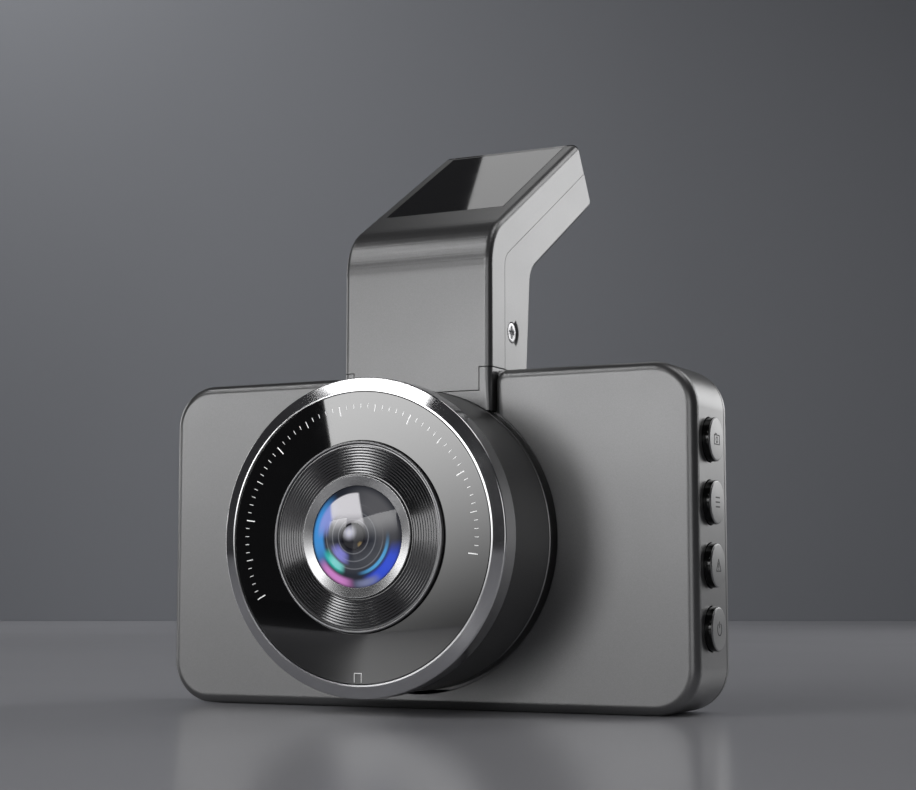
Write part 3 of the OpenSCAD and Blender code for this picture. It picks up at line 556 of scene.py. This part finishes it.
screen_gloss = screen("screen_black", *ends("cover_glass"))
foam = moulded("pad_foam", (0.035, 0.035, 0.038), 0.85, grain=0.35, depth=0.06)
steel = brushed("screw_steel", (0.52, 0.52, 0.53), 0.28)
sheet = brushed("spring_sheet", (0.66, 0.65, 0.62), 0.25, (1, 1, 12))
board_green = circuit("solder_mask", (0.01, 0.07, 0.035))
chip_black = moulded("chip_resin", (0.02, 0.02, 0.022), 0.55, depth=0.01)
inner_black = moulded("moulded_black", (0.025, 0.025, 0.027), 0.5, depth=0.008)
anodised = turned_metal("anodised_black", (0.03, 0.03, 0.032), 0.4, AXIS, line=0.25)
foil = brushed("pouch_foil", (0.62, 0.63, 0.65), 0.35, (6, 1, 6), 0.7)
flex = moulded("flex_amber", (0.5, 0.24, 0.04), 0.3, depth=0.003, Coat_Weight=0.5)
card_black = moulded("card_plastic", (0.02, 0.02, 0.022), 0.42, depth=0.004)
inner_glass = glossy("inner_glass", (0.03, 0.035, 0.07), 0.03, Coat_Weight=1.0)
filter_red = glossy("filter_red", (0.2, 0.03, 0.06), 0.04, Coat_Weight=1.0)
panel_steel = brushed("panel_steel", (0.55, 0.55, 0.55), 0.3, (30, 1, 1))

SLOT_FINISH = {
    "housing": housing, "buttons": key_paint, "bright_trim": ring_metal,
    "lens_plate": disc_gloss, "baffle": groove_black, "lens_glass": inner_glass,
    "screen_glass": screen_gloss, "panel_metal": panel_steel, "filter_glass": filter_red,
    "lens_metal": anodised, "inner_plastic": inner_black, "sheet_metal": sheet,
    "boards": board_green, "chips": chip_black, "battery_pouch": foil,
    "card_plastic": card_black, "flex_film": flex, "fasteners": steel, "pad_foam": foam,
    "pad_film": film_gloss,
}
for entry in frame["record"]["subparts"]:
    mesh = NODES[entry["node"]].data
    mesh.materials.clear()
    mesh.materials.append(SLOT_FINISH[entry["material_slot"]])


# ---- Body ----

frame_low, frame_high = ends("side_frame")
HALF_W, TOP = frame_high.x, frame_high.z
FRONT, BACK = ends("front_cover")[0].y, ends("rear_cover")[1].y
CORNER = 7.0
SEAM = 0.1
FRONT_R, BACK_R = 1.6, 1.5
REAR_T = 2
OPENING = 24.15
NOTCH, NOTCH_R = 13.5, 2


def on_rim(a, b, y):
    """Whether an edge lies along the outside of the body in the plane at y."""
    def outside(p):
        dx = max(abs(p.x) - HALF_W + CORNER, 0)
        dz = max(abs(p.z - TOP / 2) - TOP / 2 + CORNER, 0)
        return hypot(dx, dz) > CORNER - 0.02
    return all(abs(p.y - y) < 0.01 and outside(p) for p in (a, b))


cover = slab("front_cover_shell", rounded([
    (-HALF_W, TOP, CORNER), (-HALF_W, 0, CORNER), (HALF_W, 0, CORNER), (HALF_W, TOP, CORNER),
    (NOTCH, TOP, NOTCH_R), (NOTCH, LENS_Z, 0), (-NOTCH, LENS_Z, 0), (-NOTCH, TOP, NOTCH_R)], 5),
    FRONT, FRONT + FRONT_R)
round_edges(cover, lambda a, b: all(abs(p.y - FRONT) < 0.01 for p in (a, b)), FRONT_R - 0.04, 8)
cut(cover, lathe("opening", [Vector((0, FRONT - 1)), Vector((OPENING, FRONT - 1)),
                             Vector((OPENING, FRONT + 3)), Vector((0, FRONT + 3))], AXIS))
round_edges(cover, lambda a, b: all(
    abs(p.y - FRONT) < 0.01 and abs(hypot(p.x, p.z - LENS_Z) - OPENING) < 0.05
    for p in (a, b)), 0.15, 2)
settle(cover)
weigh(cover)
place(cover, "camera", ["front_cover"], housing)

sides = refine("side_frame", "side_frame_shell")
for y in (frame_low.y, frame_high.y):
    round_edges(sides, lambda a, b: on_rim(a, b, y), 0.1, 2)
settle(sides)
weigh(sides)
place(sides, "camera", ["side_frame"], housing)

rear = slab("rear_cover_shell", rectangle(-HALF_W, HALF_W, 0, TOP, CORNER), BACK - REAR_T,
            BACK)
round_edges(rear, lambda a, b: on_rim(a, b, BACK), BACK_R, 8)
glass_low, glass_high = ends("cover_glass")
pocket = slab("pocket", rectangle(glass_low.x - SEAM, glass_high.x + SEAM, glass_low.z - SEAM,
                                  glass_high.z + SEAM, 3), glass_low.y - 0.05, BACK + 1)
window = slab("window", rectangle(-34, 34, 5.6, 43, 0.5), BACK - 3, BACK + 1)
cut(rear, pocket, window)
round_edges(rear, lambda a, b: all(
    abs(p.y - BACK) < 0.01 and abs(p.x) < glass_high.x + 0.3
    and glass_low.z - 0.3 < p.z < glass_high.z + 0.3 for p in (a, b)), 0.12, 2)
settle(rear)
weigh(rear)
place(rear, "camera", ["rear_cover"], housing)

glass = slab("screen_window", rectangle(glass_low.x, glass_high.x, glass_low.z, glass_high.z,
                                        2.9), glass_low.y, glass_high.y)
round_edges(glass, lambda a, b: all(abs(p.y - glass_high.y) < 0.01 for p in (a, b)), 0.3, 4)
settle(glass)
weigh(glass)
place(glass, "camera", ["cover_glass"], screen_gloss)


# ---- Lens barrel and face ----

plate_low, plate_high = ends("face_plate")
BARREL_R, BORE_R = 23.6, 22.0
FLANGE_R, FLANGE_BACK, FLANGE_FRONT = 25.5, -4.9, -6.1
SHELF_R, SHELF_T, WELL_R = 20.4, 1.55, 9.45
SEAM_FRONT, SEAM_BACK, SEAM_DEPTH = -9.3, -8.85, 0.22
RIM_R = ends("bezel_ring")[1].x
BEZEL_BACK, RIM_FRONT = -22.55, -26.05
PLATE_R = plate_high.x
PLATE_FRONT, PLATE_BACK = plate_low.y, plate_high.y

barrel = lathe("lens_barrel_housing", rounded([
    (BORE_R, FLANGE_BACK, 0), (FLANGE_R, FLANGE_BACK, 0.2), (FLANGE_R, FLANGE_FRONT, 0.2),
    (BARREL_R, FLANGE_FRONT, 0), (BARREL_R, SEAM_BACK, 0.12),
    (BARREL_R - SEAM_DEPTH, SEAM_BACK - 0.1, 0), (BARREL_R - SEAM_DEPTH, SEAM_FRONT + 0.1, 0),
    (BARREL_R, SEAM_FRONT, 0.12), (BARREL_R, BEZEL_BACK + SEAM, 0.15),
    (PLATE_R - 0.05, BEZEL_BACK + SEAM, 0), (PLATE_R - 0.05, PLATE_BACK + 0.05, 0),
    (WELL_R, PLATE_BACK + 0.05, 0), (WELL_R, PLATE_BACK + SHELF_T, 0),
    (SHELF_R, PLATE_BACK + SHELF_T, 0), (SHELF_R, BEZEL_BACK + 1, 0),
    (BORE_R, BEZEL_BACK + 2.6, 0)], 30), AXIS)
SOCKET_FLOOR, LIP = 49.725, 3.0
flange_cut = FLANGE_FRONT - 0.02
cut(barrel,
    block("neck_room", -NOTCH, NOTCH, -8.75, 1, SOCKET_FLOOR - 0.05, TOP + 1),
    block("tongue_room", -NOTCH, NOTCH, -6.15, 1, SOCKET_FLOOR - 3.3, TOP + 1),
    block("lower_lip_room", -27, 27, flange_cut, 0, -1, LIP),
    block("upper_lip_room", -27, 27, flange_cut, 0, TOP - LIP, TOP + 1))
settle(barrel)
place(barrel, "camera", ["barrel_housing"], housing)

bezel = lathe("bezel_rim", rounded([
    (BORE_R, BEZEL_BACK, 0), (RIM_R, BEZEL_BACK, 0.12), (RIM_R, RIM_FRONT, 0.28),
    (BORE_R + 0.25, PLATE_FRONT, 0.1), (BORE_R, PLATE_FRONT, 0)], 15), AXIS, angle=50)
NUB_R, NUB_AT, NUB_TURN = 0.55, 24.0, radians(206)
nub = lathe("nub", rounded([(0, -25.1, 0), (NUB_R, -25.1, 0.15), (NUB_R, -23.7, 0.15),
                            (0, -23.7, 0)], 30),
            (NUB_AT * cos(NUB_TURN), 0, LENS_Z + NUB_AT * sin(NUB_TURN)), steps=20)
place(join("bezel_rim", [bezel, nub]), "camera", ["bezel_ring"], bezel_metal)

ACCENT_IN, ACCENT_OUT = 13.9, 14.4
disc = lathe("face_disc", rounded([
    (ACCENT_OUT + 0.05, PLATE_BACK, 0), (PLATE_R - 0.03, PLATE_BACK, 0),
    (PLATE_R - 0.03, PLATE_FRONT, 0.12), (ACCENT_OUT + 0.05, PLATE_FRONT, 0.1)], 30), AXIS)
place(disc, "camera", ["face_plate"], disc_gloss)

RING_FRONT = PLATE_FRONT - 0.7
accent = lathe("accent_band", rounded([
    (ACCENT_IN, PLATE_BACK, 0), (ACCENT_OUT, PLATE_BACK, 0), (ACCENT_OUT, RING_FRONT, 0.2),
    (ACCENT_IN, RING_FRONT, 0.2)], 20), AXIS)
place(accent, "camera", ["accent_ring"], accent_metal)

GROOVES = 10
inner_r, outer_r = 9.3, 13.85
groove_top = RING_FRONT + 0.25
pitch = (outer_r - inner_r - 0.3) / GROOVES
teeth = [Vector((outer_r - 0.15 - pitch * i / 2, groove_top - (0.12 if i % 2 else 0.0)))
         for i in range(2 * GROOVES + 1)]
grooves = lathe("grooved_baffle", [
    Vector((outer_r, PLATE_BACK)), Vector((outer_r, groove_top)), *teeth,
    Vector((inner_r, groove_top)), Vector((inner_r, PLATE_BACK))], AXIS, angle=20)
place(grooves, "camera", ["groove_ring"], groove_black)

LENS_RIM_IN, LENS_RIM_OUT, LENS_RIM_SLOPE = 7.65, 9.2, 0.33
ring_front = ends("lens_ring")[0].y
lens_rim = lathe("lens_rim", rounded([
    (LENS_RIM_IN, PLATE_BACK + 0.05, 0), (LENS_RIM_OUT, PLATE_BACK + 0.05, 0),
    (LENS_RIM_OUT, ring_front, 0.12), (LENS_RIM_IN, ring_front + LENS_RIM_SLOPE, 0.06)], 15), AXIS)
place(lens_rim, "camera", ["lens_ring"], ring_metal)

lens_low, lens_high = ends("front_lens")
LENS_R = lens_high.x
DOME = 1.25
ball_r = (LENS_R ** 2 + DOME ** 2) / (2 * DOME)
dome = [Vector((LENS_R * k / 20, lens_low.y + ball_r - sqrt(ball_r ** 2 - (LENS_R * k / 20) ** 2)))
        for k in range(21)]
lens = lathe("front_lens_dome", [*dome, Vector((LENS_R, lens_high.y)),
                                 Vector((0, lens_high.y))], AXIS, angle=60)
place(lens, "camera", ["front_lens"], lens_coating)

# Graduation marks round the disc, and the index mark under them
PRINT_FRONT, PRINT_BACK = PLATE_FRONT - 0.015, PLATE_FRONT + 0.1
MARK_R, MARK_START, MARK_STEP = 20.0, -8, 3.6
marks = []
for i in range(61):
    long, wide = ((1.5, 0.17) if i % 10 == 0 else (1.1, 0.12) if i % 5 == 0 else (0.65, 0.09))
    mark = block("mark", MARK_R - long, MARK_R, PRINT_FRONT, PRINT_BACK, -wide / 2, wide / 2)
    edit(mark, "VERT")
    ops.transform.rotate(value=radians(MARK_START + i * MARK_STEP), orient_axis="Y",
                         center_override=(0, 0, 0))
    ops.transform.translate(value=(0, 0, LENS_Z * MM))
    ops.object.mode_set(mode="OBJECT")
    marks.append(mark)
index = [block("bar", x0, x1, PRINT_FRONT, PRINT_BACK, LENS_Z + z0, LENS_Z + z1)
         for x0, x1, z0, z1 in ((-0.65, -0.55, -21.6, -20.3), (0.55, 0.65, -21.6, -20.3),
                                (-0.65, 0.65, -20.3, -20.2))]
place(join("disc_marks", marks + index), "camera", [], tick_print)


# ---- Keys with their symbols ----

def bars(strokes, x, y0, z0):
    """Thin flat strokes (y, z, length, width, turn) on the plane at x."""
    out = []
    for y, z, length, width, turn in strokes:
        bar = block("stroke", x - 0.15, x + 0.02, -length / 2, length / 2, -width / 2, width / 2)
        edit(bar, "VERT")
        if turn:
            ops.transform.rotate(value=-radians(turn), orient_axis="X", center_override=(0, 0, 0))
        ops.transform.translate(value=(0, (y0 + y) * MM, (z0 + z) * MM))
        ops.object.mode_set(mode="OBJECT")
        out.append(bar)
    return out


def loop(x, y0, z0, r, width=0.17, sweep=360):
    """A ring, or part of one, on the plane at x."""
    return lathe("loop", [Vector((r - width / 2, x - 0.15)), Vector((r + width / 2, x - 0.15)),
                          Vector((r + width / 2, x + 0.02)), Vector((r - width / 2, x + 0.02))],
                 (0, y0, z0), "X", steps=40, sweep=sweep)


LINE = 0.17
SYMBOLS = {
    "button_camera": [(0, -0.75, 2.4, LINE, 0), (0, 0.65, 2.4, LINE, 0),
                      (-1.2, -0.05, 1.4, LINE, 90), (1.2, -0.05, 1.4, LINE, 90),
                      (-0.45, 0.85, 0.8, LINE, 0)],
    "button_menu": [(0, 0.7, 1.9, 0.22, 0), (0, 0, 1.9, 0.22, 0), (0, -0.7, 1.9, 0.22, 0)],
    "button_alert": [(0, -0.85, 2.1, LINE, 0), (-0.52, 0.06, 2.06, LINE, 60),
                     (0.52, 0.06, 2.06, LINE, -60), (0, 0, 0.75, 0.2, 90),
                     (0, -0.58, 0.2, 0.2, 0)],
    "button_power": [(0, 0.65, 1.0, 0.19, 90)],
}
KEY_R, FLANGE = 3.35, 3.9
for node, strokes in SYMBOLS.items():
    low, high = ends(node)
    y0, z0 = (low.y + high.y) / 2, (low.z + high.z) / 2
    body = node.replace("button_", "") + "_key"
    face = high.x
    key = lathe("cap_" + node, rounded([
        (0, low.x, 0), (1.2, low.x, 0.1), (1.2, low.x + 0.35, 0), (FLANGE, low.x + 0.35, 0.1),
        (FLANGE, low.x + 0.85, 0.1), (KEY_R, low.x + 0.85, 0), (KEY_R, face, 0.3), (0, face, 0)],
        12), (0, y0, z0), "X", steps=96)
    place(key, body, [node], key_paint)
    signs = bars(strokes, face, y0, z0)
    if node == "button_camera":
        signs.append(loop(face, y0, z0 - 0.05, 0.42))
    if node == "button_power":
        arc = loop(face, y0, z0, 0.95, 0.19, 290)
        edit(arc, "VERT")
        ops.transform.rotate(value=radians(35), orient_axis="X",
                             center_override=(0, y0 * MM, z0 * MM))
        signs.append(settle(arc))
    place(join("symbol_" + node, signs), body, [], icon_print)


# ---- Bracket and its socket ----

shell_low, shell_high = ends("bracket_front")
NECK_HALF, NECK_FRONT, NECK_TOP = shell_high.x, shell_low.y, 75.0
SLOPE, HEAD_END = radians(31.1), 42.1


def from_bend(a, b):
    """An edge's height, and how far it is behind the neck's front, under the head and along it."""
    middle = (a + b) / 2
    back, rise = middle.y - NECK_FRONT, middle.z - NECK_TOP
    under = back * sin(SLOPE) - rise * cos(SLOPE)
    along = back * cos(SLOPE) + rise * sin(SLOPE)
    return middle.z, back, under, along


def on_cheek(a, b):
    return all(abs(abs(p.x) - NECK_HALF) < 0.01 for p in (a, b))


def front_rim(a, b):
    """Long outer edges of the front shell, away from the parting line and the foot."""
    height, back, under, along = from_bend(a, b)
    foot = abs(a.z - b.z) < 0.01 and height < 54
    return on_cheek(a, b) and not foot and (
        back < 2.5 or (under < 2.6 and height > 70) or along > HEAD_END)


def back_rim(a, b):
    """Long outer edges of the back shell."""
    height, back, under, along = from_bend(a, b)
    return on_cheek(a, b) and height >= 55.5 and (
        (back > 9 and under > 8.8) or along > HEAD_END)


front_shell = refine("bracket_front", "bracket_front_shell")
round_edges(front_shell, front_rim, 1.1, 6)
round_edges(front_shell, lambda a, b: on_cheek(a, b) and not front_rim(a, b), 0.12, 2)
settle(front_shell, 40)
weigh(front_shell)
place(front_shell, "bracket", ["bracket_front"], housing)

back_shell = refine("bracket_rear", "bracket_rear_shell")
round_edges(back_shell, back_rim, 1.0, 5)
settle(back_shell, 40)
weigh(back_shell)
place(back_shell, "bracket", ["bracket_rear"], housing)

socket = refine("hinge_base", "hinge_socket")
round_edges(socket, lambda a, b: all(abs(abs(p.x) - NECK_HALF) < 0.01
                                     and abs(p.y - NECK_FRONT) < 0.01 for p in (a, b)), 1.1, 6)
settle(socket, 40)
weigh(socket)
place(socket, "camera", ["hinge_base"], housing)

film = refine("pad_film", "pad_film_sheet")
round_edges(film, lambda a, b: True, 0.06, 2)
settle(film)
weigh(film)
place(film, "bracket", ["pad_film"], film_gloss)

tape = refine("adhesive_pad", "adhesive_tape")
round_edges(tape, lambda a, b: True, 0.15, 2)
settle(tape)
place(tape, "bracket", ["adhesive_pad"], foam)

bolts = refine("pivot_screws", "pivot_screw_heads")
bolt_end = ends("pivot_screws")[1].x
round_edges(bolts, lambda a, b: all(abs(abs(p.x) - bolt_end) < 0.01 for p in (a, b)), 0.08, 2)
settle(bolts)
place(bolts, "bracket", ["pivot_screws"], steel)


# ---- Stage, lights and camera ----

def sheet_plane(name, size, turn, spot, color, rough, wave):
    """A big flat sheet of the stage, with a faintly uneven finish."""
    ops.object.select_all(action="DESELECT")
    ops.mesh.primitive_plane_add(size=1)
    piece = bpy.context.object
    piece.name = piece.data.name = name
    edit(piece, "VERT")
    ops.transform.resize(value=(*size, 1))
    for axis, angle in turn:
        ops.transform.rotate(value=-radians(angle), orient_axis=axis, center_override=(0, 0, 0))
    ops.transform.translate(value=spot)
    ops.object.mode_set(mode="OBJECT")
    f = Finish(name + "_paint", color, rough, IOR=1.13)
    f.put("Roughness", rough + (f.noise(90, 3) - 0.5) * wave)
    piece.data.materials.append(f.material)


sheet_plane("floor", (6, 6), (), (0, 0, -0.0001), (0.45, 0.45, 0.475), 0.19, 0.03)
sheet_plane("backdrop", (6, 0.6), (("X", 90), ("Z", 26.46)), (-0.392, 0.794, 0.3),
            (0.31, 0.32, 0.345), 0.7, 0.1)

world = bpy.data.worlds.new("studio")
bpy.context.scene.world = world
world.use_nodes = True
surround = world.node_tree.nodes["Background"]
surround.inputs["Color"].default_value = (0.028, 0.028, 0.03, 1)


def light(name, spot, size, bright, target=None, turn=(0, 0, 0), fade=None):
    """A rectangular soft light (metres) with a brightness; it can fade towards its foot."""
    data = bpy.data.lights.new(name, "AREA")
    data.shape = "RECTANGLE"
    data.size, data.size_y = size
    data.energy = bright * pi * size[0] * size[1]
    lamp = bpy.data.objects.new(name, data)
    bpy.context.scene.collection.objects.link(lamp)
    lamp.location = spot
    lamp.rotation_euler = [radians(a) for a in turn]
    if target:
        aim = Vector(target) - Vector(spot)
        lamp.rotation_euler = aim.to_track_quat("-Z", "Y").to_euler()
    lamp.visible_camera = False
    if fade:
        data.use_nodes = True
        tree = data.node_tree
        across = tree.nodes.new("ShaderNodeNewGeometry")
        split = tree.nodes.new("ShaderNodeSeparateXYZ")
        curve = tree.nodes.new("ShaderNodeMapRange")
        curve.interpolation_type = "SMOOTHSTEP"
        for key, value in zip(("From Min", "From Max", "To Min"), fade):
            curve.inputs[key].default_value = value
        tree.links.new(across.outputs["Parametric"], split.inputs[0])
        tree.links.new(split.outputs[1], curve.inputs["Value"])
        tree.links.new(curve.outputs[0], tree.nodes["Emission"].inputs["Strength"])
    return data


light("front_panel", (-0.134, -0.6, 0.09), (0.4, 0.235), 4.2, turn=(90, -13.5, 0),
      fade=(0.15, 0.85, 0.0))
light("front_left", (-0.58, -0.6, 0.085), (0.32, 0.235), 4.8, turn=(90, 0, 0),
      fade=(0.15, 0.85, 0.0))
light("front_right", (0.32, -0.5, 0.11), (0.3, 0.22), 1.15, target=(0, 0, 0.05))
light("bezel_strip", (-0.36, -0.56, 0.53), (0.5, 0.06), 3.6, target=(0, 0, 0.05))
light("groove_strip", (-0.26, -0.27, 0.5), (0.42, 0.05), 5, target=(0, 0, 0.03))
light("groove_side", (-0.6, -0.08, 0.05), (0.12, 0.1), 3, target=(0, -0.03, 0.03))
light("side_panel", (0.28, 0.62, 0.17), (0.34, 0.36), 2.6, target=(0, 0, 0.12),
      fade=(0.0, 0.5, 0.02))
light("film_panel", (-0.16, 0.4, 0.5), (0.2, 0.3), 0.7)
light("overhead", (0.28, 0.05, 0.7), (0.35, 0.35), 1.3, target=(0, 0, 0))
light("back_fill", (0.3, 0.5, 0.55), (0.3, 0.3), 2.0, target=(0, 0, 0.03))
light("back_left", (-0.75, 0.3, 0.2), (0.3, 0.25), 2.0, target=(0, 0, 0.03))
wash = light("wall_wash", (-0.72, 0.4, 0.75), (0.3, 0.3), 2.2, target=(-0.6, 0.69, 0.4))
wash.spread = radians(90)

camera_data = bpy.data.cameras.new("camera")
camera = bpy.data.objects.new("camera", camera_data)
bpy.context.scene.collection.objects.link(camera)
camera.location = (0.13845, -0.27141, 0.01838)
camera.rotation_euler = (radians(95.99), 0, radians(26.46))
camera_data.sensor_width = 36
camera_data.lens = 73.536
camera_data.clip_start = 0.01
bpy.context.scene.camera = camera
bpy.context.scene.view_settings.view_transform = "Standard"
